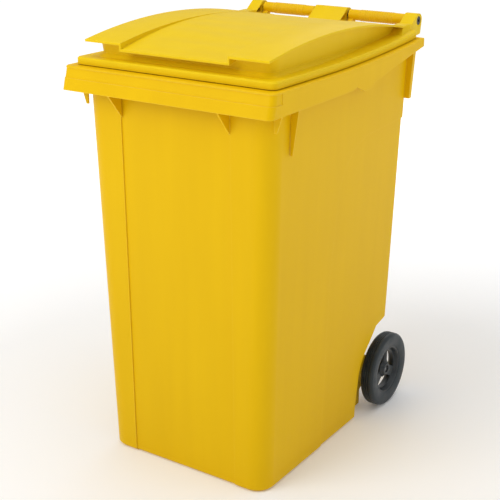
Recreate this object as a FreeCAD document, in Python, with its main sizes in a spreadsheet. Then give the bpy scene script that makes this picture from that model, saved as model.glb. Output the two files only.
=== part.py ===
import FreeCAD, Part
import math
import os
import re
import Sketcher
from FreeCAD import Vector

# Two-wheeled waste bin for comb lifting, in millimetres.
# X runs across the bin, -Y is its front, +Z is up.
# The origin is on the floor, in the middle of the bin's length and width.

SIZES = [
    ("width", 580, "across the rim"),
    ("depth", 765, "front of the rim to the back of the hinge lugs"),
    ("rim_height", 987, "floor to the rim's deck at the front"),
    ("wall", 3.4, "wall of the tub"),
    ("floor_wall", 5, "thickness of the tub's floor"),
    ("skirt_wall", 4, "wall of the rim's hanging skirt"),
    ("skirt_drop", 54, "height of the skirt at the front"),
    ("skirt_lean", 15, "how far the front skirt leans out going down"),
    ("skirt_corner", 15, "plan radius of the skirt's front corners"),
    ("skirt_step", 1.2, "set-back of the front skirt's upper half"),
    ("notch_back", 38, "notch in the skirt's side ahead of the middle"),
    ("sweep_radius", 75, "radius where the skirt's side begins to sweep up"),
    ("rim_tail", 62, "rim's rear end to the back of the hinge lugs"),
    ("rim_edge", 2, "bevel of the rim's upper edge"),
    ("rise_start", -150, "where the rim begins to rise towards the hinge"),
    ("rise_radius", 4670, "radius of the rising rim, seen from the side"),
    ("foot_front_inset", 61.5, "front wall behind the rim's front, at the floor"),
    ("top_front_inset", 47, "front wall behind the rim's front, at the rim"),
    ("foot_side_inset", 55, "side wall inside the rim, at the floor in front"),
    ("foot_rear_side_inset", 63, "side wall inside the rim, at the floor behind"),
    ("top_side_inset", 26, "side wall inside the rim, at the rim"),
    ("rear_inset", 80, "rear wall ahead of the hinge lugs, at the rim"),
    ("rear_lean", 5, "how much further ahead the rear wall is at the floor"),
    ("tub_corner", 45, "plan radius of the tub's front corners"),
    ("rear_corner", 18, "plan radius of the tub's rear corners"),
    ("foot_bevel", 7, "bevel of the tub's lower edge"),
    ("panel_half", 153, "half the width of the sunk front panel"),
    ("panel_step", 3, "depth of the sunk panels"),
    ("arch_top", 802, "height of the sunk side panel's arch"),
    ("arch_front", -46, "front edge of the sunk side panel"),
    ("arch_radius", 150, "radius of the sunk side panel's upper corner"),
    ("rib_thickness", 4, "thickness of the ribs below the rim"),
    ("axle_inset", 103.5, "axle ahead of the hinge lugs' back"),
    ("axle_diameter", 20, "steel axle"),
    ("axle_play", 0.05, "radial play around the axle"),
    ("wheel_diameter", 204, "wheel over the tyre"),
    ("wheel_width", 38, "width of tyre and hub"),
    ("wheel_face", 257, "outer face of the wheels from the middle"),
    ("well_inner", 190, "inner side of the wheel wells"),
    ("well_radius", 130, "radius of the wheel wells"),
    ("axle_recess", 150, "rear wall ahead of the hinge lugs at axle height"),
    ("bracket_thickness", 9, "thickness of the axle brackets"),
    ("hinge_inset", 18.5, "hinge axis ahead of the lugs' back"),
    ("hinge_lift", 58, "hinge axis above the rim's deck"),
    ("lug_radius", 18, "radius of the lid's hinge lugs"),
    ("lug_inner", 217, "inner face of the outer lugs"),
    ("lug_outer", 251, "outer face of the outer lugs"),
    ("middle_lug_half", 48, "half the width of the middle lug"),
    ("cheek", 8, "thickness of a lug's cheek"),
    ("grip_diameter", 28, "handle grips"),
    ("grip_inner", 54, "inner end of a grip"),
    ("grip_outer", 213, "outer end of a grip"),
    ("arm_thickness", 13, "thickness of the arms that carry the grips"),
    ("pin_diameter", 16, "hinge pins"),
    ("pin_play", 0.06, "radial play around the hinge pins"),
    ("pin_head", 22, "diameter of a hinge pin's head"),
    ("pin_head_height", 3, "height of a hinge pin's head"),
    ("pin_grip", 34, "how far a hinge pin reaches into the grip"),
    ("lid_gap", 2, "gap between the rim's deck and the lid"),
    ("lid_wall", 4, "wall of the lid"),
    ("lid_side_inset", 15, "lid's flange inside the rim's side"),
    ("lid_front_inset", 37.5, "lid's flange behind the rim's front"),
    ("lid_tail", 66, "lid's rear wall ahead of the hinge lugs' back"),
    ("flange_height", 16, "height of the lid's flange"),
    ("lid_corner", 15, "plan radius of the flange's corners"),
    ("flange_edge", 3, "bevel of the flange's upper edge"),
    ("dome_side_inset", 50, "dome inside the rim's side, in front"),
    ("dome_rear_inset", 66, "dome inside the rim's side, behind"),
    ("dome_front_inset", 80, "dome behind the rim's front"),
    ("dome_foot", 9, "spread of the dome's foot"),
    ("dome_flare", 7, "how far the dome's sides lean out at their top"),
    ("dome_corner", 30, "plan radius of the dome's corners"),
    ("lid_rise", 85, "top of the lid above the rim's deck"),
    ("crown_radius", 1650, "radius of the lid's crown, seen from the side"),
    ("crown_middle", -35, "where the crown is highest"),
    ("middle_crest", -10, "crest of the lowered middle, along the bin"),
    ("wing_half", 253, "half the width of the lid's top skin"),
    ("lip_front_inset", 50.5, "lid's front lip behind the rim's front"),
    ("lip_thickness", 5, "thickness of the top skin"),
    ("step_half", 147, "half the width of the lid's lowered middle"),
    ("middle_drop", 1.7, "lowered middle below the crown at the top"),
    ("middle_radius", 1340, "radius of the lowered middle, seen from the side"),
    ("tyre_wall", 36, "depth of the tyre"),
    ("tyre_round", 10, "rounding of the tyre's shoulders"),
    ("tyre_bulge", 3.5, "how far the tyre's sides bulge"),
    ("tyre_side_round", 60, "radius of the tyre's bulging sides"),
    ("groove_width", 2.4, "width of a tread groove"),
    ("groove_depth", 2.5, "depth of a tread groove"),
    ("groove_pitch", 5.6, "spacing of the tread grooves"),
    ("hub_rim", 6, "thickness of the hub's rim"),
    ("hub_web", 8, "thickness of the hub's disc"),
    ("boss_radius", 19, "radius of the hub's boss"),
    ("boss_recess", 8, "boss end inside the tyre's outer face"),
    ("spoke_count", 3, "spokes of the hub"),
    ("window_inner", 25, "inner radius of the openings between the spokes"),
    ("window_outer", 52, "outer radius of the openings between the spokes"),
    ("bush_wall", 3, "wall of the wheel's bush"),
    ("sleeve_diameter", 28, "spacer sleeve on the axle"),
    ("end_play", 0.5, "end play of wheel and sleeve"),
    ("tower_radius", 9, "radius of the lock's housing in the hub"),
    ("tower_top", 49, "end of the lock's housing, from the axle"),
    ("cap_seat", 5, "depth of the seat above the lock's cap"),
    ("lock_inset", 19, "lock ahead of the hub's outer face, along the axle"),
    ("lock_diameter", 8, "stem of the lock plunger"),
    ("lock_collar", 11, "collar of the lock plunger"),
    ("lock_groove", 7.2, "radius of the axle in the lock's groove"),
    ("spring_wire", 1, "wire of the lock's spring"),
]

DOC = FreeCAD.newDocument("WheeledBin")
SHEET = DOC.addObject("Spreadsheet::Sheet", "Sizes")
WORDS = re.compile(r"\b(" + "|".join(alias for alias, size, note in SIZES) + r")\b")

# Places that several sub-parts share, as formulas over the sheet.
HALF = "(width / 2)"
FRONT = "(-depth / 2)"
BACK = "(depth / 2)"
RIM_REAR = "(depth / 2 - rim_tail)"
AXLE_Y = "(depth / 2 - axle_inset)"
AXLE_Z = "(wheel_diameter / 2)"
HINGE_Y = "(depth / 2 - hinge_inset)"
HINGE_Z = "(rim_height + hinge_lift)"
LID_FRONT = "(lid_front_inset - depth / 2)"
LID_REAR = "(depth / 2 - lid_tail)"
LID_HALF = "(width / 2 - lid_side_inset)"
LIP_FRONT = "(lip_front_inset - depth / 2)"
WHEEL_MIDDLE = "(wheel_face - wheel_width / 2)"
LOCK_X = "(wheel_width / 2 - lock_inset)"
LOCK_AT = "%d * (wheel_face - lock_inset)"
BORE = "(axle_diameter / 2 + axle_play)"
FAR = 600


def fill_sheet():
    for row, (alias, size, note) in enumerate(SIZES, 1):
        SHEET.set("A%d" % row, alias)
        SHEET.set("B%d" % row, str(size))
        SHEET.setAlias("B%d" % row, alias)
        SHEET.set("C%d" % row, note)
    DOC.recompute()


def sized(formula):
    """A formula with each size's name written as the sheet's cell."""
    return WORDS.sub(r"Sizes.\1", str(formula))


def number(formula):
    return float(SHEET.evalExpression(sized(formula)))


def drive(target, prop, formula):
    target.setExpression(prop, sized(formula))


def rim_top(along, lift="0"):
    """Height of the rim's deck behind the start of its rise."""
    run = "((%s) - rise_start)" % along
    return "(rim_height + (%s) + rise_radius - sqrt(rise_radius^2 - %s^2))" % (lift, run)


def crown(along, drop="0"):
    """Height of the lid's crown."""
    run = "((%s) - crown_middle)" % along
    return "(rim_height + lid_rise - (%s) - crown_radius + sqrt(crown_radius^2 - %s^2))" % (drop, run)


def lowered(along, drop="0"):
    """Height of the lid's lowered middle."""
    run = "((%s) - middle_crest)" % along
    return ("(rim_height + lid_rise - middle_drop - (%s) - middle_radius + sqrt(middle_radius^2 - %s^2))"
            % (drop, run))


# ---- sketches and features -------------------------------------------------

def new_body(name):
    return DOC.addObject("PartDesign::Body", name)


def new_sketch(body, name, plane, offset):
    sketch = body.newObject("Sketcher::SketchObject", name)
    support = next(item for item in body.Origin.OriginFeatures if item.Role == plane)
    sketch.AttachmentSupport = [(support, "")]
    sketch.MapMode = "FlatFace"
    drive(sketch, "AttachmentOffset.Base.z", offset)
    return sketch


def place_point(sketch, index, position, name, across, upward):
    """Hold one end of an element at a place given by two formulas."""
    for kind, mark, formula in (("DistanceX", "across", across), ("DistanceY", "up", upward)):
        item = sketch.addConstraint(Sketcher.Constraint(kind, -1, 1, index, position, number(formula)))
        sketch.renameConstraint(item, mark + name)
        drive(sketch, "Constraints." + mark + name, formula)


def edge_between(start, end, radius):
    """A line, or an arc that bulges left for a positive radius and right for a negative one."""
    if radius == 0:
        return Part.LineSegment(start, end)
    chord = end - start
    left = Vector(-chord.y, chord.x, 0).normalize()
    rise = abs(radius) - math.sqrt(radius ** 2 - (chord.Length / 2) ** 2)
    middle = (start + end) / 2 + left * math.copysign(rise, radius)
    return Part.Arc(start, middle, end)


def outline(body, name, plane, points, offset="0"):
    """Closed outline. Each point is (across, up), with a radius added where an arc leads on from it."""
    sketch = new_sketch(body, name, plane, offset)
    places = [Vector(number(point[0]), number(point[1]), 0) for point in points]
    ends = []
    for index, point in enumerate(points):
        start = places[index]
        end = places[(index + 1) % len(points)]
        radius = number(point[2]) if len(point) > 2 else 0
        sketch.addGeometry(edge_between(start, end, radius), False)
        first = 1 if sketch.getPoint(index, 1).distanceToPoint(start) < 0.01 else 2
        ends.append((first, 3 - first))
    for index, point in enumerate(points):
        following = (index + 1) % len(points)
        joint = Sketcher.Constraint("Coincident", index, ends[index][1], following, ends[following][0])
        sketch.addConstraint(joint)
        place_point(sketch, index, ends[index][0], str(index), point[0], point[1])
        if len(point) > 2:
            item = sketch.addConstraint(Sketcher.Constraint("Radius", index, abs(number(point[2]))))
            sketch.renameConstraint(item, "radius%d" % index)
            drive(sketch, "Constraints.radius%d" % index, "abs(%s)" % point[2])
    return sketch


def circles(body, name, plane, discs, offset="0"):
    """Circles, each given as (across, up, radius)."""
    sketch = new_sketch(body, name, plane, offset)
    for index, (across, upward, radius) in enumerate(discs):
        middle = Vector(number(across), number(upward), 0)
        sketch.addGeometry(Part.Circle(middle, Vector(0, 0, 1), number(radius)), False)
        place_point(sketch, index, 3, str(index), across, upward)
        item = sketch.addConstraint(Sketcher.Constraint("Radius", index, number(radius)))
        sketch.renameConstraint(item, "radius%d" % index)
        drive(sketch, "Constraints.radius%d" % index, radius)
    return sketch


def pad(body, sketch, length, both_ways=False):
    feature = body.newObject("PartDesign::Pad", sketch.Name + "Pad")
    feature.Profile = sketch
    drive(feature, "Length", length)
    feature.SideType = "Symmetric" if both_ways else "One side"
    return feature


def pocket(body, sketch, length, away):
    feature = body.newObject("PartDesign::Pocket", sketch.Name + "Pocket")
    feature.Profile = sketch
    drive(feature, "Length", length)
    feature.Reversed = away
    return feature


def turned(body, sketch, axis="H_Axis"):
    feature = body.newObject("PartDesign::Revolution", sketch.Name + "Turned")
    feature.Profile = sketch
    feature.ReferenceAxis = (sketch, [axis])
    feature.Angle = 360
    return feature


def dress_edges(body, kind, name, base, size, wanted):
    """Fillet or chamfer on those edges of a feature that a test picks out."""
    DOC.recompute()
    edges = ["Edge%d" % (index + 1) for index, edge in enumerate(base.Shape.Edges) if wanted(edge)]
    feature = body.newObject("PartDesign::" + kind, name)
    feature.Base = (base, edges)
    drive(feature, "Radius" if kind == "Fillet" else "Size", size)
    return feature


def is_upright(edge):
    run = edge.lastVertex().Point - edge.firstVertex().Point
    return abs(run.z) > 0.85 * run.Length > 8


def is_level(height):
    """Test for edges that lie at one height."""
    def test(edge):
        return edge.BoundBox.ZMax - edge.BoundBox.ZMin < 0.01 and abs(edge.BoundBox.ZMin - height) < 0.01
    return test


def prism(name, points, start, length, both_ways=False):
    """Outline in the Y-Z plane, carried along X from start."""
    body = new_body(name)
    sketch = outline(body, name + "Outline", "YZ_Plane", points, start)
    pad(body, sketch, length, both_ways)
    return body


def cross_prism(name, points, rear, length):
    """Outline in the X-Z plane, carried forwards from its rear face."""
    body = new_body(name)
    sketch = outline(body, name + "Outline", "XZ_Plane", points, "-(%s)" % rear)
    pad(body, sketch, length)
    return body


def rod(name, along, upward, radius, start, length, both_ways=False):
    """Round bar along X."""
    body = new_body(name)
    sketch = circles(body, name + "Circle", "YZ_Plane", [(along, upward, radius)], start)
    pad(body, sketch, length, both_ways)
    return body


def on_side(side, start, length):
    """Where a length that begins at start on the right begins on either side."""
    return str(start) if side > 0 else "-((%s) + (%s))" % (start, length)


def fuse(name, shapes):
    result = DOC.addObject("Part::MultiFuse", name)
    result.Shapes = shapes
    return result


def cut(name, base, tool):
    result = DOC.addObject("Part::Cut", name)
    result.Base = base
    result.Tool = tool
    return result


def common(name, base, tool):
    result = DOC.addObject("Part::Common", name)
    result.Base = base
    result.Tool = tool
    return result


SIDES = ((1, "Right"), (-1, "Left"))


# ---- tub and rim -----------------------------------------------------------

def rounded_section(body, name, height, front, rear, half_front, half_rear, corner, rear_corner):
    """Level section with four rounded corners."""
    bulge = "-(%s)" % corner
    rear_bulge = "-(%s)" % rear_corner
    points = [("-((%s) - (%s))" % (half_front, corner), front),
              ("(%s) - (%s)" % (half_front, corner), front, bulge),
              (half_front, "(%s) + (%s)" % (front, corner)),
              (half_rear, "(%s) - (%s)" % (rear, rear_corner), rear_bulge),
              ("(%s) - (%s)" % (half_rear, rear_corner), rear),
              ("-((%s) - (%s))" % (half_rear, rear_corner), rear, rear_bulge),
              ("-(%s)" % half_rear, "(%s) - (%s)" % (rear, rear_corner)),
              ("-(%s)" % half_front, "(%s) + (%s)" % (front, corner), bulge)]
    return outline(body, name, "XY_Plane", points, height)


def tapered_block(name, *sections):
    """Block through level sections: (height, front, rear, half widths, corner radii)."""
    body = new_body(name)
    sketches = [rounded_section(body, "%sLevel%d" % (name, index), *section)
                for index, section in enumerate(sections)]
    loft = body.newObject("PartDesign::AdditiveLoft", name + "Loft")
    loft.Profile = sketches[0]
    loft.Sections = sketches[1:]
    loft.Ruled = True
    return body


def tub_block(name, inset, bottom):
    """The tub's tapered form with its bevelled foot, drawn in by an inset."""
    def section(height, front, rear, half_front, half_rear, extra):
        drawn = "((%s) + (%s))" % (inset, extra)
        return (height, "%s - depth / 2 + %s" % (front, drawn), "depth / 2 - %s - (%s)" % (rear, drawn),
                "width / 2 - %s - (%s)" % (half_front, drawn), "width / 2 - %s - (%s)" % (half_rear, drawn),
                "tub_corner - (%s)" % drawn, "rear_corner - (%s)" % drawn)
    foot = ("foot_front_inset", "rear_inset - rear_lean", "foot_side_inset", "foot_rear_side_inset")
    top = ("top_front_inset", "rear_inset", "top_side_inset", "top_side_inset")
    return tapered_block(name, section(bottom, *foot, "foot_bevel"), section("(%s) + foot_bevel" % bottom, *foot, "0"),
                         section("rim_height + 60", *top, "0"))


def sunk_zones(name, grow):
    """Where the front and side panels are sunk."""
    front = prism(name + "Front",
                  [(-FAR, -FAR), ("-depth / 4", -FAR), ("-depth / 4", "rim_height - skirt_drop + (%s)" % grow),
                   (-FAR, "rim_height - skirt_drop + (%s)" % grow)],
                  "0", "2 * (panel_half + (%s))" % grow, True)
    arch = [(FAR, "arch_top + 24 + (%s)" % grow),
            ("arch_front + 172 - (%s)" % grow, "arch_top + (%s)" % grow, "-arch_radius"),
            ("arch_front + 22 - (%s)" % grow, "arch_top - 132 + (%s)" % grow),
            ("arch_front - (%s)" % grow, "arch_top - 330"),
            ("arch_front - (%s)" % grow, -FAR),
            (FAR, -FAR)]
    sides = [prism(name + "Side" + mark, arch, on_side(side, "width / 4", FAR), FAR) for side, mark in SIDES]
    return fuse(name, [front] + sides)


def tub_form(name, inset, bottom, grow):
    """The tapered form with its sunk panels."""
    full = tub_block(name + "Full", inset, bottom)
    sunk = tub_block(name + "Sunk", "panel_step + (%s)" % inset, bottom)
    removed = cut(name + "Removed", sunk_zones(name + "Zones", grow), sunk)
    return cut(name, full, removed)


def rear_cuts(name, grow):
    """Wheel wells and the recess for the axle, both open to the rear."""
    well = [(FAR, -FAR),
            ("%s - well_radius - 9 - (%s)" % (AXLE_Y, grow), -FAR),
            ("%s - well_radius - 7 - (%s)" % (AXLE_Y, grow), "AXLE_Z - 62"),
            ("%s - well_radius - (%s)" % (AXLE_Y, grow), "AXLE_Z", "well_radius + (%s)" % grow),
            ("%s - 0.6 * (well_radius + (%s))" % (AXLE_Y, grow), "AXLE_Z + 0.8 * (well_radius + (%s))" % grow),
            ("%s - 43 - (%s) / 2" % (AXLE_Y, grow), "AXLE_Z + well_radius + 12 + (%s)" % grow),
            (FAR, "AXLE_Z + well_radius + 95 + (%s)" % grow)]
    well = [tuple(str(part).replace("AXLE_Z", AXLE_Z) for part in point) for point in well]
    start = "well_inner - (%s)" % grow
    wells = [prism(name + "Well" + mark, well, on_side(side, start, FAR), FAR) for side, mark in SIDES]
    recess = [(FAR, -FAR),
              ("%s - axle_recess - (%s)" % (BACK, grow), -FAR),
              ("%s - axle_recess - (%s)" % (BACK, grow), "%s + 55" % AXLE_Z),
              ("%s - rear_inset - (%s)" % (BACK, grow), "%s + 140 + (%s)" % (AXLE_Z, grow)),
              (FAR, "%s + 140 + (%s)" % (AXLE_Z, grow))]
    return fuse(name, wells + [prism(name + "Recess", recess, "0", 2 * FAR, True)])


def rim_outline(inset, bottom_drop):
    """Side view of the rim: its skirt leans out in front, and sweeps up at the back."""
    low = "rim_height - skirt_drop - (%s)" % bottom_drop
    front = "%s + (%s)" % (FRONT, inset)
    rear = "%s - (%s)" % (RIM_REAR, inset)
    return [(front, low),
            ("-1 * notch_back", "%s + 5" % low),
            ("18 - notch_back", "%s + 10" % low),
            ("56 - notch_back", "%s - 5" % low),
            ("86 - notch_back", "%s - 5" % low, "sweep_radius"),
            ("136 - notch_back", "%s + 13" % low),
            ("190 - notch_back", "%s + 26" % low),
            (rear, "%s + 57" % low),
            (rear, rim_top(rear, "-(%s)" % inset), "rise_radius"),
            ("rise_start", "rim_height - (%s)" % inset),
            ("%s + skirt_lean" % front, "rim_height - (%s)" % inset)]


def rim_solid(name, inset, bottom_drop):
    body = new_body(name)
    sketch = outline(body, name + "Outline", "YZ_Plane", rim_outline(inset, bottom_drop))
    block = pad(body, sketch, "width - 2 * (%s)" % inset, True)
    corners = dress_edges(body, "Fillet", name + "Corners", block, "skirt_corner - (%s)" % inset,
                          lambda edge: is_upright(edge) and edge.CenterOfMass.y < 0)
    return body, corners


def rim_channel():
    """The rim: a deck around the mouth with a skirt that hangs from its edge."""
    outer, last = rim_solid("RimOuter", "0", "0")
    dress_edges(outer, "Chamfer", "RimEdge", last, "rim_edge",
                lambda edge: is_level(number("rim_height"))(edge) and edge.CenterOfMass.y < number("rise_start - 20"))
    middle = "rim_height - skirt_drop / 2"
    top = "rim_height - 2 * rim_edge"
    behind = "%s + 3 * skirt_corner" % FRONT
    zone = prism("SkirtUpperZone", [(-FAR, middle), (behind, middle), (behind, top), (-FAR, top)], "0", 2 * FAR, True)
    shaved = cut("SkirtShaved", zone, rim_solid("SkirtSetBack", "skirt_step", "0")[0])
    inner = rim_solid("RimInner", "skirt_wall", "60")[0]
    return cut("RimChannel", cut("RimStepped", outer, shaved), inner)


def above_rim():
    """Everything above the rim's deck."""
    far_rise = rim_top(RIM_REAR)
    return prism("AboveRim",
                 [(-FAR, "rim_height"), ("rise_start", "rim_height", "-rise_radius"), (RIM_REAR, far_rise),
                  (FAR, far_rise), (FAR, "rim_height + %d" % FAR), (-FAR, "rim_height + %d" % FAR)],
                 "0", 2 * FAR, True)


def rim_ribs():
    """Ribs that brace the rim's overhang against the walls."""
    low = "rim_height - skirt_drop"
    ribs = []
    wall_y = "top_front_inset - depth / 2 + wall / 2"
    wedge = [(wall_y, "%s - 56" % low), (wall_y, "rim_height - 6"),
             ("%s + skirt_lean + 3" % FRONT, "rim_height - 6"), ("%s + 3" % FRONT, "%s + 1" % low)]
    wall_x = "width / 2 - top_side_inset - wall / 2 - 2"
    for side, mark in SIDES:
        start = on_side(side, "panel_half - rib_thickness", "rib_thickness")
        ribs.append(prism("FrontRib" + mark, wedge, start, "rib_thickness"))
        for name, along, drop, foot in (("Corner", "%s + 64" % FRONT, 41, 2), ("Side", "%s + 128" % FRONT, 104, 1)):
            points = [(wall_x, "%s - %d" % (low, drop)), ("%s + 6" % wall_x, "%s - %d" % (low, drop)),
                      ("width / 2 - 8 - %d" % foot, low), ("width / 2 - 2", "%s + 6" % low),
                      ("width / 2 - 2", "rim_height - 6"), (wall_x, "rim_height - 6")]
            points = [("(%s) * %d" % (across, side), upward) for across, upward in points]
            ribs.append(cross_prism(name + "Rib" + mark, points, along, "rib_thickness"))
        inside = "%s - tub_corner" % wall_x
        rear = [(inside, "arch_top + 58"), ("width / 2 - 20", "arch_top + 58"),
                ("width / 2 - 12", "rim_height - 6"), (inside, "rim_height - 6")]
        rear = [("(%s) * %d" % (across, side), upward) for across, upward in rear]
        ribs.append(cross_prism("RearRib" + mark, rear, "%s - rear_inset - 1" % BACK, "rib_thickness * 3"))
    return ribs


def grips():
    """Handle grips on arms behind the rim, on the hinge axis."""
    pieces = []
    arm = [("%s - 12" % RIM_REAR, "%s - 26" % rim_top(RIM_REAR)), (RIM_REAR, "%s - 24" % rim_top(RIM_REAR)),
           ("%s + 11" % HINGE_Y, "%s - 8" % HINGE_Z), ("%s - 6" % HINGE_Y, "%s - 4" % HINGE_Z),
           (RIM_REAR, "%s - 5" % rim_top(RIM_REAR)), ("%s - 12" % RIM_REAR, "%s - 5" % rim_top(RIM_REAR))]
    length = "(grip_outer - grip_inner)"
    for side, mark in SIDES:
        start = on_side(side, "grip_inner", length)
        pieces.append(rod("Grip" + mark, HINGE_Y, HINGE_Z, "grip_diameter / 2", start, length))
        for end, inner in (("Inner", "grip_inner"), ("Outer", "(grip_outer - arm_thickness)")):
            begin = on_side(side, inner, "arm_thickness")
            pieces.append(prism("Arm" + end + mark, arm, begin, "arm_thickness"))
    return pieces


def axle_brackets():
    """Brackets that carry the axle behind the lower rear wall."""
    wall_y = "%s - axle_recess - wall / 2" % BACK
    shape = [(wall_y, "%s - 62" % AXLE_Z), ("%s + 8" % AXLE_Y, "%s - 19" % AXLE_Z),
             ("%s + 20" % AXLE_Y, "%s - 8" % AXLE_Z), ("%s + 20" % AXLE_Y, "%s + 8" % AXLE_Z),
             ("%s + 8" % AXLE_Y, "%s + 19" % AXLE_Z), (wall_y, "%s + 52" % AXLE_Z)]
    brackets = []
    for side, mark in SIDES:
        for index, inner in enumerate(("well_inner / 5", "well_inner * 3 / 5", "well_inner - bracket_thickness")):
            start = on_side(side, inner, "bracket_thickness")
            brackets.append(prism("Bracket%d%s" % (index, mark), shape, start, "bracket_thickness"))
    return brackets


def make_bin_body():
    outer = cut("TubOuter", tub_form("TubForm", "0", "0", "0"), rear_cuts("RearCuts", "0"))
    trimmed = cut("TubTrimmed", outer, above_rim())
    hollow = cut("TubHollow", tub_form("HollowForm", "wall", "floor_wall", "wall"), rear_cuts("HollowCuts", "wall"))
    solid = fuse("TubSolid", [trimmed, rim_channel()] + rim_ribs())
    shell = cut("TubShell", solid, hollow)
    joined = fuse("TubJoined", [shell] + grips() + axle_brackets())
    bores = fuse("TubBores", [
        rod("AxleBore", AXLE_Y, AXLE_Z, BORE, "0", 2 * FAR, True),
        rod("GripBore", HINGE_Y, HINGE_Z, "pin_diameter / 2 + pin_play", "0", 2 * FAR, True)])
    return cut("BinBody", joined, bores)


# ---- lid -------------------------------------------------------------------

def rim_following(front, rear, low, high):
    """Side view of a band that follows the rising rim between two lifts."""
    return [(front, "rim_height + (%s)" % low), ("rise_start", "rim_height + (%s)" % low, "-rise_radius"),
            (rear, rim_top(rear, low)), (rear, rim_top(rear, high), "rise_radius"),
            ("rise_start", "rim_height + (%s)" % high), (front, "rim_height + (%s)" % high)]


def flange_block(name, inset, low, high):
    body = new_body(name)
    points = rim_following("%s + (%s)" % (LID_FRONT, inset), "%s - (%s)" % (LID_REAR, inset), low, high)
    sketch = outline(body, name + "Outline", "YZ_Plane", points)
    block = pad(body, sketch, "2 * (%s - (%s))" % (LID_HALF, inset), True)
    corners = dress_edges(body, "Fillet", name + "Corners", block, "lid_corner - (%s)" % inset, is_upright)
    return body, corners


def dome_block(name, inset, bottom):
    """The lid's box below the crown, with a spread foot and sides that lean out towards the top."""
    rear = "%s - (%s)" % (LID_REAR, inset)
    corner = "dome_corner - (%s)" % inset
    deck = "(rim_height + lid_gap + flange_height)"

    def level(height, spread):
        front = "dome_front_inset - depth / 2 + (%s) - (%s)" % (inset, spread)
        return (height, front, rear, "width / 2 - dome_side_inset - (%s) + (%s)" % (inset, spread),
                "width / 2 - dome_rear_inset - (%s) + (%s)" % (inset, spread), corner, corner)
    return tapered_block(name, level("rim_height + (%s)" % bottom, "dome_foot"), level(deck, "dome_foot"),
                         level("%s + dome_foot" % deck, "0"), level("rim_height + lid_rise + 10", "dome_flare"))


def under_crown(name, drop):
    """Everything below the crown, lower in the middle than on the two wings."""
    whole = prism(name + "Whole",
                  [(FRONT, "rim_height - 50"), (BACK, "rim_height - 50"), (BACK, crown(BACK, drop), "-crown_radius"),
                   (FRONT, crown(FRONT, drop))], "0", 2 * FAR, True)
    above_middle = prism(name + "Lowered",
                         [(BACK, lowered(BACK, drop), "-middle_radius"), (FRONT, lowered(FRONT, drop)),
                          (FRONT, "rim_height + 300"), (BACK, "rim_height + 300")],
                         "0", "2 * (step_half + (%s))" % drop, True)
    return cut(name, whole, above_middle)


def crown_band(height, front, rear, radius):
    """Side view of a skin of even thickness under the crown."""
    return [(front, height(front, "lip_thickness"), radius), (rear, height(rear, "lip_thickness")),
            (rear, height(rear), "-1 * (%s)" % radius), (front, height(front))]


def skin_pieces():
    """The top skin, which overhangs the dome: two wings, a lower middle, and a riser at each step."""
    dome_front = "dome_front_inset - depth / 2 + 6"
    rear = "%s + 3" % LID_REAR
    wing = crown_band(crown, LIP_FRONT, rear, "crown_radius")
    middle = crown_band(lowered, LIP_FRONT, dome_front, "middle_radius")
    riser = [(LIP_FRONT, lowered(LIP_FRONT, "lip_thickness")), (dome_front, lowered(dome_front, "lip_thickness")),
             (dome_front, crown(dome_front)), (LIP_FRONT, crown(LIP_FRONT))]
    pieces = [prism("SkinMiddle", middle, "0", "2 * step_half", True)]
    for side, mark in SIDES:
        pieces.append(prism("Wing" + mark, wing, on_side(side, "step_half", "wing_half - step_half"),
                            "wing_half - step_half"))
        pieces.append(prism("Riser" + mark, riser, on_side(side, "step_half", "lid_wall"), "lid_wall"))
    return pieces


def below_deck():
    """Everything lower than the lid may reach."""
    return prism("BelowDeck", rim_following("-%d" % FAR, "%s + 2" % RIM_REAR, "-200", "lid_gap"), "0", 2 * FAR, True)


def lug_outline(inset):
    """Side view of a hinge lug, from the lid's rear wall to round the hinge axis."""
    reach = "(lug_radius - (%s))" % inset
    return [("%s - 20" % LID_REAR, "%s + lid_gap + 2" % rim_top(LID_REAR)),
            ("%s - 4" % HINGE_Y, "%s - 36" % HINGE_Z), ("%s + 12 - (%s)" % (HINGE_Y, inset), "%s - 34" % HINGE_Z),
            ("%s + %s" % (HINGE_Y, reach), HINGE_Z, "-%s" % reach),
            (HINGE_Y, "%s + %s" % (HINGE_Z, reach)),
            ("%s - 8" % HINGE_Y, "%s + %s" % (HINGE_Z, reach)),
            (LID_REAR, "%s - (%s)" % (crown(LID_REAR), inset)),
            ("%s - 20" % LID_REAR, "%s - (%s) - 1" % (crown("%s - 20" % LID_REAR), inset))]


def lug(name, start, length):
    """Hollow lug, open below, with a cheek at each end."""
    solid = prism(name + "Solid", lug_outline("0"), start, length)
    inner = lug_outline("lid_wall")
    inner[0] = ("%s - 3" % LID_REAR, "%s - 60" % HINGE_Z)
    inner[1] = ("%s - 4" % HINGE_Y, "%s - 60" % HINGE_Z)
    inner[2] = ("%s + 12 - lid_wall" % HINGE_Y, "%s - 60" % HINGE_Z)
    inner[-1] = ("%s - 3" % LID_REAR, "%s - lid_wall - 1" % crown(LID_REAR))
    hollow = prism(name + "Hollow", inner, "%s + cheek" % start, "(%s) - 2 * cheek" % length)
    return cut(name, solid, hollow)


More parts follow.
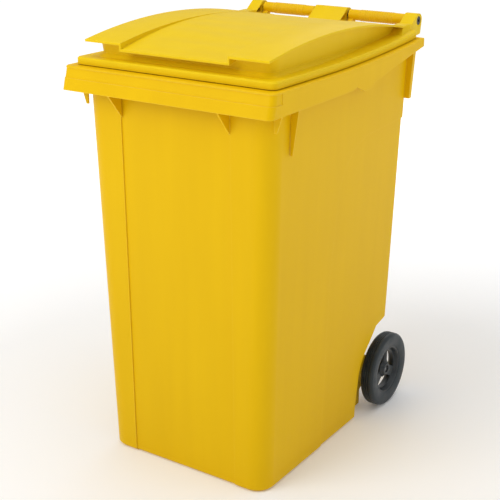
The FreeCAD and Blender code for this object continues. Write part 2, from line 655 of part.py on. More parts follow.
def lug_foot(name, side):
    """Swept foot that carries the flange's side up into an outer lug."""
    body = new_body(name)
    rear = "%s + 4" % LID_REAR
    foot = [("lug_inner + 3", "%s - 116" % LID_REAR), ("%s - 10" % LID_HALF, "%s - 96" % LID_REAR),
            ("%s - 2" % LID_HALF, "%s - 6" % LID_REAR), ("lug_outer", rear), ("lug_inner", rear)]
    waist = [("lug_inner + 3", "%s - 66" % LID_REAR), ("lug_outer + 8", "%s - 60" % LID_REAR),
             ("lug_outer + 9", "%s - 6" % LID_REAR), ("lug_outer", rear), ("lug_inner", rear)]
    top = [("lug_inner + 3", "%s - 36" % LID_REAR), ("lug_outer - 1", "%s - 36" % LID_REAR),
           ("lug_outer", "%s - 6" % LID_REAR), ("lug_outer", rear), ("lug_inner", rear)]
    deck = "(rim_height + lid_gap + flange_height)"
    sketches = []
    for mark, points, height in (("Foot", foot, "%s + 2" % deck), ("Waist", waist, "%s + 17" % deck),
                                 ("Top", top, crown("%s - 36" % LID_REAR))):
        points = [("(%s) * %d" % (across, side), along) for across, along in points]
        sketches.append(outline(body, name + mark, "XY_Plane", points, height))
    loft = body.newObject("PartDesign::AdditiveLoft", name + "Loft")
    loft.Profile = sketches[0]
    loft.Sections = sketches[1:]
    loft.Ruled = True
    return body


def lug_windows():
    """Three-cornered openings in the cheeks that face the grips."""
    corner = "%s - pin_diameter / 2 - 5" % HINGE_Y
    shape = [("%s + 3" % LID_REAR, "%s - 10" % HINGE_Z), (corner, "%s - 12" % HINGE_Z), (corner, "%s + 9" % HINGE_Z)]
    windows = []
    for side, mark in SIDES:
        for name, inner in (("Middle", "(middle_lug_half - cheek)"), ("Outer", "lug_inner")):
            start = on_side(side, inner, "cheek")
            windows.append(prism("Window" + name + mark, shape, start, "cheek"))
    return windows


def pin_bores():
    """Running bores for the hinge pins, with sunk seats for the outer pins' heads."""
    radius = "pin_diameter / 2 + pin_play"
    bores = [rod("PinBore", HINGE_Y, HINGE_Z, radius, "0", 2 * FAR, True)]
    for side, mark in SIDES:
        depth = "(pin_head_height + 0.4)"
        start = on_side(side, "lug_outer - %s" % depth, depth)
        bores.append(rod("PinSeat" + mark, HINGE_Y, HINGE_Z, "pin_head / 2 + 0.4", start, depth))
    return fuse("PinBores", bores)


def make_lid():
    top = "lid_gap + flange_height"
    upper = fuse("LidUpper", [dome_block("DomeOuter", "0", "lid_gap + 4")] + skin_pieces())
    outer = common("LidOuter", upper, under_crown("CrownOuter", "0"))
    flange, corners = flange_block("FlangeOuter", "0", "lid_gap", top)
    dress_edges(flange, "Chamfer", "FlangeEdge", corners, "flange_edge", is_level(number("rim_height + " + top)))
    feet = [lug_foot("LugFoot" + mark, side) for side, mark in SIDES]
    inner_dome = common("LidInnerDome", dome_block("DomeInner", "lid_wall", "-20"),
                        under_crown("CrownInner", "lid_wall"))
    inner_flange = flange_block("FlangeInner", "lid_wall", "-20", "%s - lid_wall" % top)[0]
    inner = fuse("LidInner", [inner_dome, inner_flange])
    shell = cut("LidShell", fuse("LidSolid", [outer, flange] + feet), inner)
    lugs = [lug("MiddleLug", "(-middle_lug_half)", "(2 * middle_lug_half)")]
    for side, mark in SIDES:
        length = "(lug_outer - lug_inner)"
        lugs.append(lug("Lug" + mark, on_side(side, "lug_inner", length), length))
    removed = fuse("LidRemoved", [pin_bores(), below_deck()] + lug_windows())
    return cut("Lid", fuse("LidJoined", [shell] + lugs), removed)


# ---- hinge pins ------------------------------------------------------------

def make_pin(name, head_at, reach, direction):
    """Headed pin along X. It starts at its head's outer face and points towards direction."""
    body = new_body(name)
    radius = "pin_diameter / 2"
    core = "pin_head / 6"
    points = [("0", core), (reach, core), (reach, "%s - 1.5" % radius), ("%s - 1.5" % reach, radius),
              ("pin_head_height", radius), ("pin_head_height", "pin_head / 2"),
              ("0.8", "pin_head / 2"), ("0", "pin_head / 2 - 0.8")]
    sketch = outline(body, name + "Section", "XY_Plane", points)
    turned(body, sketch)
    place(body, head_at, HINGE_Y, HINGE_Z, Vector(0, 0, 1), 0 if direction > 0 else 180)
    return body


def place(body, across, along, upward, axis=Vector(0, 0, 1), angle=0):
    body.Placement = FreeCAD.Placement(Vector(), FreeCAD.Rotation(axis, angle))
    drive(body, "Placement.Base.x", across)
    drive(body, "Placement.Base.y", along)
    drive(body, "Placement.Base.z", upward)


def make_pins():
    pins = {}
    for side, word in ((1, "right"), (-1, "left")):
        outer = "(lug_outer - lug_inner + pin_grip)"
        pins["hinge_pin_%s_outer" % word] = make_pin("Outer" + word, "%d * (lug_outer - 0.4)" % side, outer, -side)
        inner = "(pin_head_height + 0.3 + cheek + pin_grip)"
        at = "%d * (middle_lug_half - cheek - pin_head_height - 0.3)" % side
        pins["hinge_pin_%s_inner" % word] = make_pin("Inner" + word, at, inner, side)
    return pins


# ---- axle and wheels -------------------------------------------------------

def make_axle():
    """Steel bar with a groove near each end for the wheel's lock."""
    body = new_body("Axle")
    radius = "axle_diameter / 2"
    end = "(wheel_face - boss_recess - 4)"
    lock = "(wheel_face - lock_inset)"
    half = "(lock_diameter / 2 + 1)"
    points = [("-%s" % end, "0"), (end, "0"), (end, "%s - 1.5" % radius), ("%s - 1.5" % end, radius),
              ("%s + %s" % (lock, half), radius), ("%s + %s" % (lock, half), "lock_groove"),
              ("%s - %s" % (lock, half), "lock_groove"), ("%s - %s" % (lock, half), radius),
              ("-%s + %s" % (lock, half), radius), ("-%s + %s" % (lock, half), "lock_groove"),
              ("-%s - %s" % (lock, half), "lock_groove"), ("-%s - %s" % (lock, half), radius),
              ("-%s + 1.5" % end, radius), ("-%s" % end, "%s - 1.5" % radius)]
    turned(body, outline(body, "AxleSection", "XY_Plane", points))
    place(body, "0", AXLE_Y, AXLE_Z)
    return body


def place_wheel_piece(body, side):
    """Wheel pieces are drawn about the wheel's middle, with the outer face towards +X."""
    place(body, "%d * %s" % (side, WHEEL_MIDDLE), AXLE_Y, AXLE_Z, Vector(0, 0, 1), 0 if side > 0 else 180)


def make_tyre(name, side):
    """Solid tyre with rounded shoulders and grooves around its tread."""
    body = new_body(name)
    half = "(wheel_width / 2)"
    outer = "(wheel_diameter / 2)"
    inner = "(wheel_diameter / 2 - tyre_wall)"
    floor = "%s - groove_depth" % outer
    points = [("tyre_bulge - %s" % half, inner), ("%s - tyre_bulge" % half, inner, "-1 * tyre_side_round"),
              (half, "%s - tyre_round" % outer, "-1 * tyre_round"), ("%s - tyre_round" % half, outer)]
    for index in (1, 0, -1):
        high = "groove_pitch * %d + groove_width / 2" % index
        low = "groove_pitch * %d - groove_width / 2" % index
        points += [(high, outer), ("%s - 0.6" % high, floor), ("%s + 0.6" % low, floor), (low, outer)]
    points += [("tyre_round - %s" % half, outer, "-1 * tyre_round"),
               ("-%s" % half, "%s - tyre_round" % outer, "-1 * tyre_side_round")]
    turned(body, outline(body, name + "Section", "XY_Plane", points))
    place_wheel_piece(body, side)
    return body


def either_side(degrees):
    """Sine and cosine of an angle to each side."""
    turn = math.radians(degrees)
    return [(-math.sin(turn), math.cos(turn)), (math.sin(turn), math.cos(turn))]


WINDOW_INNER = either_side(30)
WINDOW_OUTER = either_side(44)


def make_hub(name, side):
    """Wheel centre: rim, dished disc with openings, boss and the lock's housing."""
    body = new_body(name)
    half = "(wheel_width / 2)"
    seat = "(wheel_diameter / 2 - tyre_wall)"
    bore = "(axle_diameter / 2 + axle_play + bush_wall)"
    back = "(3 - %s)" % half
    face = "(%s - tyre_bulge - 1)" % half
    points = [(back, bore), (back, "boss_radius"), ("-hub_web / 2 - 3", "boss_radius + 2"),
              ("-hub_web / 2 - 3", "%s - hub_rim - 5" % seat), (back, "%s - hub_rim" % seat),
              (back, seat), (face, seat), (face, "%s - hub_rim + 2" % seat),
              ("%s - 2" % face, "%s - hub_rim" % seat),
              ("hub_web / 2", "%s - hub_rim - 4" % seat), ("hub_web / 2 - 3", "boss_radius + 4"),
              ("%s - boss_recess" % half, "boss_radius - 3"), ("%s - boss_recess" % half, bore)]
    turned(body, outline(body, name + "Section", "XY_Plane", points))
    inner = [("window_inner * %.4f" % sine, "window_inner * -%.4f" % cosine) for sine, cosine in WINDOW_INNER]
    outer = [("window_outer * %.4f" % sine, "window_outer * -%.4f" % cosine) for sine, cosine in WINDOW_OUTER]
    window = outline(body, name + "Window", "YZ_Plane",
                     [outer[0] + ("-1 * window_outer",), outer[1], inner[1] + ("window_inner",), inner[0]],
                     "-%s" % half)
    opening = pocket(body, window, "wheel_width", True)
    spread = body.newObject("PartDesign::PolarPattern", name + "Windows")
    spread.Originals = [opening]
    spread.Axis = (next(item for item in body.Origin.OriginFeatures if item.Role == "X_Axis"), [""])
    spread.Angle = 360
    drive(spread, "Occurrences", "spoke_count")
    body.Tip = spread
    tower = circles(body, name + "Tower", "XY_Plane", [(LOCK_X, "0", "tower_radius")], "boss_radius - 4")
    pad(body, tower, "tower_top - boss_radius + 4")
    hole = circles(body, name + "LockBore", "XY_Plane", [(LOCK_X, "0", "lock_collar / 2 + 0.3")], "0")
    pocket(body, hole, "tower_top + 10", True)
    seat = circles(body, name + "CapSeat", "XY_Plane", [(LOCK_X, "0", "tower_radius - 0.6")], "tower_top")
    pocket(body, seat, "cap_seat", True)
    place_wheel_piece(body, side)
    return body


def make_bush(name, side):
    """Plain bush with a hole for the lock."""
    body = new_body(name)
    half = "(wheel_width / 2)"
    outer = "(axle_diameter / 2 + axle_play + bush_wall)"
    start = "-%s + 1" % half
    end = "%s - boss_recess" % half
    points = [(start, BORE), (end, BORE), (end, outer), (start, outer)]
    turned(body, outline(body, name + "Section", "XY_Plane", points))
    hole = circles(body, name + "LockHole", "XY_Plane", [(LOCK_X, "0", "lock_diameter / 2 + 0.4")], "0")
    pocket(body, hole, "boss_radius", True)
    place_wheel_piece(body, side)
    return body


def make_sleeve(name, side):
    """Spacer between the bin and the wheel."""
    body = new_body(name)
    outer = "(sleeve_diameter / 2)"
    start = "end_play"
    end = "(wheel_face - wheel_width - well_inner - end_play)"
    points = [(start, BORE), (end, BORE), (end, outer), (start, outer)]
    turned(body, outline(body, name + "Section", "XY_Plane", points))
    place(body, "%d * well_inner" % side, AXLE_Y, AXLE_Z, Vector(0, 0, 1), 0 if side > 0 else 180)
    return body


def make_lock_plunger(name, side):
    """Headed pin that drops into the axle's groove."""
    body = new_body(name)
    tip = "(lock_groove + 0.6)"
    seat = "(axle_diameter / 2 + axle_play + bush_wall + 1)"
    points = [("0", tip), ("lock_diameter / 2 - 1", tip), ("lock_diameter / 2", "%s + 1" % tip),
              ("lock_diameter / 2", seat), ("lock_collar / 2", seat), ("lock_collar / 2", "%s + 3" % seat),
              ("lock_diameter / 4", "%s + 3" % seat), ("lock_diameter / 4", "%s + 16" % seat), ("0", "%s + 16" % seat)]
    sketch = outline(body, name + "Section", "XZ_Plane", points)
    turned(body, sketch, "V_Axis")
    place(body, LOCK_AT % side, AXLE_Y, AXLE_Z)
    return body


def make_lock_spring(name, side):
    """Spring around the plunger's stem, as the ridged sleeve that its coils fill."""
    body = new_body(name)
    low = "(axle_diameter / 2 + axle_play + bush_wall + 4.1)"
    outer = "(lock_collar / 2 - 0.4)"
    inner = "%s - spring_wire" % outer
    turns = 9
    height = "(tower_top - 6.4 - %s)" % low
    points = [(inner, low), (outer, low)]
    for turn in range(1, turns):
        level = "%s + %s * %d / %d" % (low, height, turn, turns)
        points += [(outer, "%s - spring_wire / 4" % level), ("%s - spring_wire / 3" % outer, level),
                   (outer, "%s + spring_wire / 4" % level)]
    points += [(outer, "%s + %s" % (low, height)), (inner, "%s + %s" % (low, height))]
    turned(body, outline(body, name + "Section", "XZ_Plane", points), "V_Axis")
    place(body, LOCK_AT % side, AXLE_Y, AXLE_Z)
    return body


def make_lock_cap(name, side):
    """Plug that closes the lock's housing and guides the plunger's stem."""
    body = new_body(name)
    base = "(tower_top - 6)"
    top = "(tower_top + 2)"
    stem = "(lock_diameter / 4 + 0.4)"
    points = [(stem, base), ("lock_collar / 2", base), ("lock_collar / 2", "tower_top"),
              ("tower_radius - 1", "tower_top"), ("tower_radius - 1", "%s - 0.5" % top),
              ("tower_radius - 1.5", top), (stem, top)]
    turned(body, outline(body, name + "Section", "XZ_Plane", points), "V_Axis")
    place(body, LOCK_AT % side, AXLE_Y, AXLE_Z)
    return body


def make_wheels():
    pieces = {}
    for side, word in ((1, "right"), (-1, "left")):
        mark = word.capitalize()
        pieces["wheel_%s_tyre" % word] = make_tyre("Tyre" + mark, side)
        pieces["wheel_%s_hub" % word] = make_hub("Hub" + mark, side)
        pieces["wheel_%s_bush" % word] = make_bush("Bush" + mark, side)
        pieces["axle_sleeve_%s" % word] = make_sleeve("Sleeve" + mark, side)
        pieces["lock_%s_plunger" % word] = make_lock_plunger("Plunger" + mark, side)
        pieces["lock_%s_spring" % word] = make_lock_spring("Spring" + mark, side)
        pieces["lock_%s_cap" % word] = make_lock_cap("Cap" + mark, side)
    return pieces


# ---- document --------------------------------------------------------------

def check_document(parts):
    for item in DOC.Objects:
        if "Invalid" in item.State or "Error" in item.State:
            raise RuntimeError("%s did not recompute: %s" % (item.Name, item.State))
    for node, part in parts.items():
        if part.Shape.isNull() or not part.Shape.isValid():
            raise RuntimeError("%s has no valid shape" % node)
        if len(part.Shape.Solids) != 1:
            raise RuntimeError("%s has %d solids" % (node, len(part.Shape.Solids)))


def main():
    fill_sheet()
    parts = {"bin_body": make_bin_body(), "lid": make_lid(), "axle": make_axle()}
    parts.update(make_pins())
    parts.update(make_wheels())
    for node, part in parts.items():
        part.Label = node
    DOC.recompute()
    check_document(parts)
    os.makedirs("parts", exist_ok=True)
    for node, part in parts.items():
        part.Shape.exportStep("parts/%s.step" % node)
        box = part.Shape.BoundBox
        print("%-24s %10.1f cm3  x %7.1f %7.1f  y %7.1f %7.1f  z %7.1f %7.1f"
              % (node, part.Shape.Volume / 1000, box.XMin, box.XMax, box.YMin, box.YMax, box.ZMin, box.ZMax))


main()
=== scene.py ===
import math

import bmesh
import bpy
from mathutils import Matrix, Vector


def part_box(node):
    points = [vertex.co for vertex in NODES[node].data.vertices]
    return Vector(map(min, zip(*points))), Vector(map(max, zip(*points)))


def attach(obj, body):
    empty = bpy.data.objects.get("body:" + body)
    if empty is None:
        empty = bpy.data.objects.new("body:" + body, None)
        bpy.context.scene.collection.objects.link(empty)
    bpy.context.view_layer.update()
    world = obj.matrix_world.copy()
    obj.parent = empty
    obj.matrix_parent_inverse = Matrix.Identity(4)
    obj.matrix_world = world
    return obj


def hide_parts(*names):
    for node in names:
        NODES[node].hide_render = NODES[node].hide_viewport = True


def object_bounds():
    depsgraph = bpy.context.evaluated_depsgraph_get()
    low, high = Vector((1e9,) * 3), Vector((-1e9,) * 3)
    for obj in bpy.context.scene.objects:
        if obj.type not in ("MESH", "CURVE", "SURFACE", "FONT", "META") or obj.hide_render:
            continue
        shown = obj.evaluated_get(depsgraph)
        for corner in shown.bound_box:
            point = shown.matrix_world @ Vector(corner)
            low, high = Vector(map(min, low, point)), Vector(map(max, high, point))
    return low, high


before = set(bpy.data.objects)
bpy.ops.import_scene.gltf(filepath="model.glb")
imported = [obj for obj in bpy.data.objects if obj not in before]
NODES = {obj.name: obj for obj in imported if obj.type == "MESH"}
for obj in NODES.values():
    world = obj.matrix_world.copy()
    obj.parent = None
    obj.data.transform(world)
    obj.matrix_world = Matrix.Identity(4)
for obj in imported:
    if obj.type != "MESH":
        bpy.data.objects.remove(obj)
cad_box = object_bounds()

MM = 0.001
SIDES = (("right", 1), ("left", -1))
SCENE = bpy.context.scene
TURN = 2 * math.pi


# ---- camera, floor and light

CAMERA_TARGET = Vector((0.00689, -0.05025, 0.48935))
CAMERA_AZIMUTH = 34.19
CAMERA_ELEVATION = 19.91
CAMERA_DISTANCE = 2.85935
CAMERA_LENS = 81.2
CAMERA_SENSOR = 36
CAMERA_SHIFT = (0.005, 0.0078)
LIT_POINT = Vector((0, 0, 0.5))
FLOOR_HALF = 25
WORLD_STRENGTH = 0.44
GLOW_NEAR, GLOW_FAR = 0.9, 3.0
GLOW_LOW, GLOW_HIGH = 0.06, 0.62

def aimed_at(thing, target):
    """Turns a camera or light so that it looks at a point."""
    thing.rotation_euler = (target - thing.location).to_track_quat("-Z", "Y").to_euler()


def direction(azimuth, elevation):
    """Unit vector towards a viewpoint, from degrees round from the front and up."""
    turn, rise = math.radians(azimuth), math.radians(elevation)
    return Vector((math.sin(turn) * math.cos(rise), -math.cos(turn) * math.cos(rise), math.sin(rise)))


def add_camera():
    data = bpy.data.cameras.new("Camera")
    data.lens = CAMERA_LENS
    data.sensor_width = CAMERA_SENSOR
    data.shift_x, data.shift_y = CAMERA_SHIFT
    data.clip_end = 60
    camera = bpy.data.objects.new("Camera", data)
    camera.location = CAMERA_TARGET + direction(CAMERA_AZIMUTH, CAMERA_ELEVATION) * CAMERA_DISTANCE
    aimed_at(camera, CAMERA_TARGET)
    SCENE.collection.objects.link(camera)
    SCENE.camera = camera


def add_light(name, azimuth, elevation, distance, size, power):
    """Square white light that faces the bin."""
    data = bpy.data.lights.new(name, "AREA")
    data.shape = "SQUARE"
    data.size = size
    data.energy = power
    lamp = bpy.data.objects.new(name, data)
    lamp.location = LIT_POINT + direction(azimuth, elevation) * distance
    aimed_at(lamp, LIT_POINT)
    SCENE.collection.objects.link(lamp)


def add_floor():
    """Pale floor that glows further out, so that it stays white behind the bin."""
    mesh = bpy.data.meshes.new("Floor")
    half = FLOOR_HALF
    corners = [(-half, -half, 0), (half, -half, 0), (half, half, 0), (-half, half, 0)]
    mesh.from_pydata(corners, [], [(0, 1, 2, 3)])
    floor = bpy.data.objects.new("Floor", mesh)
    floor.location.z = cad_box[0][2]
    SCENE.collection.objects.link(floor)
    paint = Paint("floor_white")
    paint.shader.inputs["Base Color"].default_value = (0.95, 0.95, 0.95, 1)
    paint.shader.inputs["Roughness"].default_value = 0.9
    paint.shader.inputs["Specular IOR Level"].default_value = 0.1
    away = paint.node("VectorMath", Vector=paint.place())
    away.operation = "LENGTH"
    paint.shader.inputs["Emission Color"].default_value = (1, 1, 1, 1)
    glow = paint.ramp(away.outputs["Value"], GLOW_NEAR, GLOW_FAR, GLOW_LOW, GLOW_HIGH)
    paint.feed(paint.shader.inputs["Emission Strength"], glow)
    mesh.materials.append(paint.material)


def add_world():
    world = bpy.data.worlds.new("Studio")
    world.use_nodes = True
    backdrop = world.node_tree.nodes["Background"]
    backdrop.inputs["Color"].default_value = (1, 1, 1, 1)
    backdrop.inputs["Strength"].default_value = WORLD_STRENGTH
    SCENE.world = world


# ---- materials

# Reach of the painted edge highlight on the bin and lid walls.
WALL_EDGE_HIGHLIGHT_REACH = 0.0022
# Reach of the painted edge highlight on dark plastic, and of the dust along the rubbed tyre edges.
TRIM_EDGE_HIGHLIGHT_AND_RUB_REACH = 0.0012
EDGE_SAMPLES = 4

class Paint:
    """A node material with short ways to add and link nodes."""

    def __init__(self, name):
        self.material = bpy.data.materials.new(name)
        self.material.use_nodes = True
        self.tree = self.material.node_tree
        self.shader = self.tree.nodes["Principled BSDF"]

    def node(self, kind, **inputs):
        item = self.tree.nodes.new("ShaderNode" + kind)
        for key, value in inputs.items():
            self.feed(item.inputs[key.replace("_", " ")], value)
        return item

    def feed(self, socket, value):
        if isinstance(value, bpy.types.NodeSocket):
            self.tree.links.new(value, socket)
        else:
            socket.default_value = value

    def place(self, scale=(1, 1, 1)):
        """Object coordinates in metres, scaled along each axis."""
        spot = self.node("TexCoord").outputs["Object"]
        return self.node("Mapping", Vector=spot, Scale=scale).outputs[0]

    def noise(self, scale, detail=2.0, stretch=(1, 1, 1), rough=0.5):
        return self.node("TexNoise", Vector=self.place(stretch), Scale=scale, Detail=detail,
                         Roughness=rough).outputs[0]

    def ramp(self, value, low, high, start=0.0, end=1.0):
        item = self.node("MapRange", Value=value)
        for key, number in (("From Min", low), ("From Max", high), ("To Min", start), ("To Max", end)):
            item.inputs[key].default_value = number
        return item.outputs[0]

    def maths(self, first, second, operation):
        item = self.tree.nodes.new("ShaderNodeMath")
        item.operation = operation
        self.feed(item.inputs[0], first)
        self.feed(item.inputs[1], second)
        return item.outputs[0]

    def plus(self, first, second):
        return self.maths(first, second, "ADD")

    def times(self, first, second):
        return self.maths(first, second, "MULTIPLY")

    def blend(self, amount, first, second):
        item = self.tree.nodes.new("ShaderNodeMix")
        item.data_type = "RGBA"
        self.feed(item.inputs["Factor"], amount)
        self.feed(item.inputs["A"], first)
        self.feed(item.inputs["B"], second)
        return item.outputs["Result"]

    def bumps(self, *layers):
        """Stacked bumps, each given as height, depth in metres and strength."""
        normal = None
        for height, depth, strength in layers:
            item = self.node("Bump", Height=height, Distance=depth, Strength=strength)
            if normal is not None:
                self.feed(item.inputs["Normal"], normal)
            normal = item.outputs["Normal"]
        self.feed(self.shader.inputs["Normal"], normal)

    def edges(self, radius, low=0.02, high=0.25):
        """How much a point is within a radius of an edge, from nothing to one."""
        soft = self.tree.nodes.new("ShaderNodeBevel")
        soft.samples = EDGE_SAMPLES
        soft.inputs["Radius"].default_value = radius
        turned = self.node("VectorMath")
        turned.operation = "DOT_PRODUCT"
        self.feed(turned.inputs[0], soft.outputs["Normal"])
        self.feed(turned.inputs[1], self.node("NewGeometry").outputs["Normal"])
        return self.ramp(turned.outputs["Value"], 1 - low, 1 - high)


def moulded_plastic(name, base, deep, pale, scuffed_below):
    """Moulded polyethylene: fine grain, faint flow marks, paler edges painted on as a highlight, and
    paler scuffs.

    The scuffs fade out upwards at scuffed_below; a height under the floor leaves them everywhere."""
    paint = Paint(name)
    flow = paint.noise(22, 3, (1, 1, 0.08))
    cloud = paint.noise(2.6, 2)
    grain = paint.noise(1500, 2)
    pits = paint.noise(420, 2)
    waves = paint.noise(3.5, 0)
    tone = paint.ramp(paint.plus(flow, cloud), 0.75, 1.25)
    colour = paint.blend(tone, deep, base)
    # Painted highlight: edges are mixed towards the pale colour, broken into patches by noise; the same
    # mask also makes the edges a little rougher.
    edge_highlight = paint.times(paint.edges(WALL_EDGE_HIGHLIGHT_REACH), paint.ramp(paint.noise(60, 4), 0.3, 0.6, 0.35, 1.0))
    colour = paint.blend(paint.times(edge_highlight, 0.6), colour, pale)
    scratch = paint.ramp(paint.noise(45, 6, (0.35, 0.35, 3.2), 0.7), 0.64, 0.74)
    height = paint.node("SeparateXYZ", Vector=paint.place()).outputs["Z"]
    low = paint.ramp(height, scuffed_below, 0.0)
    scuff = paint.times(scratch, low)
    colour = paint.blend(paint.times(scuff, 0.3), colour, pale)
    paint.feed(paint.shader.inputs["Base Color"], colour)
    rough = paint.plus(paint.ramp(pits, 0.3, 0.7, 0.40, 0.48), paint.times(scuff, 0.2))
    paint.feed(paint.shader.inputs["Roughness"], paint.plus(rough, paint.times(edge_highlight, 0.08)))
    paint.shader.inputs["Specular IOR Level"].default_value = 0.1
    paint.bumps((waves, 0.004, 0.25), (pits, 0.0001, 0.3), (grain, 0.00006, 0.4))
    return paint.material


def rubber(name, base, dusty):
    """Moulded rubber with a fine grain, dusty in patches and along its rubbed edges."""
    paint = Paint(name)
    cloud = paint.ramp(paint.noise(38, 5, rough=0.65), 0.42, 0.68)
    grain = paint.noise(1300, 3)
    rub = paint.edges(TRIM_EDGE_HIGHLIGHT_AND_RUB_REACH)
    colour = paint.blend(paint.times(cloud, 0.5), base, dusty)
    colour = paint.blend(paint.times(rub, 0.5), colour, dusty)
    paint.feed(paint.shader.inputs["Base Color"], colour)
    paint.feed(paint.shader.inputs["Roughness"], paint.ramp(cloud, 0, 1, 0.46, 0.66))
    paint.shader.inputs["Specular IOR Level"].default_value = 0.45
    paint.shader.inputs["Sheen Weight"].default_value = 0.1
    paint.bumps((paint.noise(220, 3), 0.0003, 0.4), (grain, 0.00012, 0.5))
    return paint.material


def dark_plastic(name, base, pale, roughness):
    """Dark moulded plastic with paler edges painted on as a highlight, and a fine matt grain."""
    paint = Paint(name)
    cloud = paint.noise(30, 3)
    # Painted highlight: edges of the dark parts are mixed towards the pale colour, in noise patches.
    edge_highlight = paint.times(paint.edges(TRIM_EDGE_HIGHLIGHT_AND_RUB_REACH), paint.ramp(paint.noise(160, 3), 0.3, 0.6))
    tint = paint.blend(paint.ramp(cloud, 0.4, 0.65, 0.0, 0.35), base, pale)
    paint.feed(paint.shader.inputs["Base Color"], paint.blend(paint.times(edge_highlight, 0.7), tint, pale))
    rough = paint.ramp(cloud, 0.3, 0.7, roughness - 0.06, roughness + 0.08)
    paint.feed(paint.shader.inputs["Roughness"], rough)
    paint.shader.inputs["Specular IOR Level"].default_value = 0.5
    paint.bumps((paint.noise(900, 3), 0.0001, 0.5),)
    return paint.material


def plated_steel(name):
    """Zinc-plated steel with drawing marks along it and dull spots."""
    paint = Paint(name)
    drawn = paint.noise(900, 2, (0.02, 1, 1))
    spots = paint.ramp(paint.noise(90, 4), 0.45, 0.7)
    paint.feed(paint.shader.inputs["Base Color"], paint.blend(spots, ZINC, ZINC_DULL))
    paint.feed(paint.shader.inputs["Roughness"], paint.ramp(spots, 0, 1, 0.28, 0.5))
    paint.shader.inputs["Metallic"].default_value = 1.0
    paint.bumps((drawn, 0.00006, 0.5),)
    return paint.material


# ---- meshes

MERGE_GAP = 0.15 * MM
SHARP_ANGLE = math.radians(26)
ROUNDING_SEGMENTS = 3
LID_ROUNDING = 1.2 * MM
RIB_SHARP_ANGLE = math.radians(35)
SLEEVE_INNER = 13.5 * MM
RIB_FOOT = 14.1 * MM
RIB_TOP = 14.9 * MM
RIBS_START = 86 * MM
RIB_PITCH = 7 * MM
RIB_COUNT = 14
RIB_TOP_FROM = 0.8 * MM
RIB_TOP_TO = 3.0 * MM
RIB_END = 3.8 * MM
SLEEVE_STEPS = 48

def add_piece(name, mesh, material, body):
    """A mesh as a new piece that moves with a body."""
    piece = bpy.data.objects.new(name, mesh)
    mesh.materials.clear()
    mesh.materials.append(material)
    SCENE.collection.objects.link(piece)
    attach(piece, body)
    return piece


def rounded(node, name, material, body, width):
    """Copy of a CAD node with its sharp edges rounded in the mesh; it stands for the node."""
    mesh = NODES[node].data.copy()
    form = bmesh.new()
    form.from_mesh(mesh)
    bmesh.ops.remove_doubles(form, verts=form.verts, dist=MERGE_GAP)
    weight = form.edges.layers.float.new("bevel_weight_edge")
    for face in form.faces:
        face.smooth = True
    for edge in form.edges:
        if edge.is_manifold and edge.calc_face_angle(0) > SHARP_ANGLE:
            edge[weight] = 1.0
    form.to_mesh(mesh)
    form.free()
    mesh.normals_split_custom_set([(0, 0, 0)] * len(mesh.loops))
    piece = add_piece(name, mesh, material, body)
    bevel = piece.modifiers.new("Rounding", "BEVEL")
    bevel.width = width
    bevel.segments = ROUNDING_SEGMENTS
    bevel.limit_method = "WEIGHT"
    bevel.harden_normals = True
    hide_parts(node)


def rib_profile():
    """Closed section of the ribs, as distance from the middle and radius."""
    end = RIBS_START + RIB_COUNT * RIB_PITCH
    profile = [(RIBS_START, SLEEVE_INNER)]
    for index in range(RIB_COUNT):
        begin = RIBS_START + index * RIB_PITCH
        profile += [(begin, RIB_FOOT), (begin + RIB_TOP_FROM, RIB_TOP),
                    (begin + RIB_TOP_TO, RIB_TOP), (begin + RIB_END, RIB_FOOT)]
    return profile + [(end, RIB_FOOT), (end, SLEEVE_INNER)]


def ribbed_sleeve(name, side, material):
    """Ribs round the middle of a grip, turned about the axis of the hinge pins."""
    low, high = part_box("hinge_pin_right_outer")
    centre = (low + high) / 2
    profile = rib_profile()
    form = bmesh.new()
    rings = []
    for step in range(SLEEVE_STEPS):
        turn = TURN * step / SLEEVE_STEPS
        ring = [form.verts.new((side * along, centre.y + radius * math.cos(turn),
                                centre.z + radius * math.sin(turn)))
                for along, radius in profile]
        rings.append(ring)
    for step, ring in enumerate(rings):
        following = rings[(step + 1) % SLEEVE_STEPS]
        for index in range(len(profile)):
            after = (index + 1) % len(profile)
            form.faces.new((ring[index], ring[after], following[after], following[index]))
    bmesh.ops.recalc_face_normals(form, faces=form.faces)
    for face in form.faces:
        face.smooth = True
    mesh = bpy.data.meshes.new(name)
    form.to_mesh(mesh)
    form.free()
    mesh.set_sharp_from_angle(angle=RIB_SHARP_ANGLE)
    add_piece(name, mesh, material, "bin")


# ---- the bin

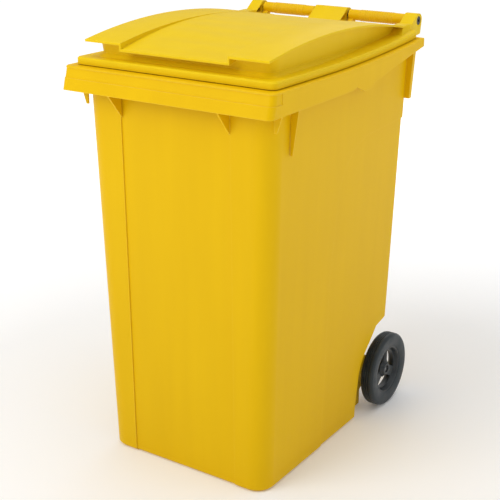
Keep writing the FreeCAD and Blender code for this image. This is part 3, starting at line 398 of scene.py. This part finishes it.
YELLOW = (0.80, 0.492, 0.0, 1)
YELLOW_DEEP = (0.77, 0.466, 0.0, 1)
# YELLOW_PALE paints the edge highlight and the scuffs.
YELLOW_PALE = (0.92, 0.70, 0.10, 1)
LID_YELLOW = (0.81, 0.56, 0.004, 1)
LID_DEEP = (0.785, 0.535, 0.003, 1)
TYRE_BLACK = (0.009, 0.016, 0.020, 1)
TYRE_DUST = (0.022, 0.036, 0.043, 1)
HUB_BLACK = (0.014, 0.018, 0.020, 1)
# The dark PALE colours paint the edge highlight and the paler tint patches.
HUB_PALE = (0.060, 0.070, 0.076, 1)
PIN_BLACK = (0.012, 0.012, 0.012, 1)
PIN_PALE = (0.05, 0.05, 0.05, 1)
NYLON_BLACK = (0.02, 0.022, 0.024, 1)
NYLON_PALE = (0.07, 0.075, 0.08, 1)
ZINC = (0.55, 0.56, 0.57, 1)
ZINC_DULL = (0.38, 0.38, 0.37, 1)
BODY_SCUFFED_BELOW = 0.18
LID_SCUFFED_BELOW = -1.0  # under the floor, so the lid is faintly scuffed all over
LIGHTS = (
    ("Overhead", 0, 88, 3.2, 3.6, 46),
    ("Key", -22, 36, 4.2, 2.4, 60),
    ("Fill", 100, 22, 4.5, 3.0, 20),
    ("Behind", 190, 35, 4.5, 3.0, 24),
)

add_camera()
add_world()
add_floor()
for light in LIGHTS:
    add_light(*light)
SCENE.view_settings.view_transform = "Standard"

body_paint = moulded_plastic("yellow_polyethylene", YELLOW, YELLOW_DEEP, YELLOW_PALE,
                             BODY_SCUFFED_BELOW)
lid_paint = moulded_plastic("yellow_lid_polyethylene", LID_YELLOW, LID_DEEP, YELLOW_PALE,
                            LID_SCUFFED_BELOW)
tyre_paint = rubber("tyre_rubber_black", TYRE_BLACK, TYRE_DUST)
hub_paint = dark_plastic("hub_black", HUB_BLACK, HUB_PALE, 0.40)
pin_paint = dark_plastic("pin_black", PIN_BLACK, PIN_PALE, 0.45)
nylon_paint = dark_plastic("nylon_black", NYLON_BLACK, NYLON_PALE, 0.5)
steel_paint = plated_steel("plated_steel")


def coat_for(name):
    """Material of a CAD node that is shown as it is."""
    if name == "axle":
        return steel_paint
    for word, coat in (("tyre", tyre_paint), ("hub", hub_paint), ("bin_body", body_paint),
                       ("hinge_pin", pin_paint), ("plunger", steel_paint), ("spring", steel_paint)):
        if word in name:
            return coat
    return nylon_paint


rounded("lid", "lid_shell", lid_paint, "lid", LID_ROUNDING)
for word, side in SIDES:
    ribbed_sleeve("grip_ribs_" + word, side, body_paint)

for name, node in NODES.items():
    if node.hide_render:
        continue
    for slot in node.material_slots:
        slot.material = coat_for(name)
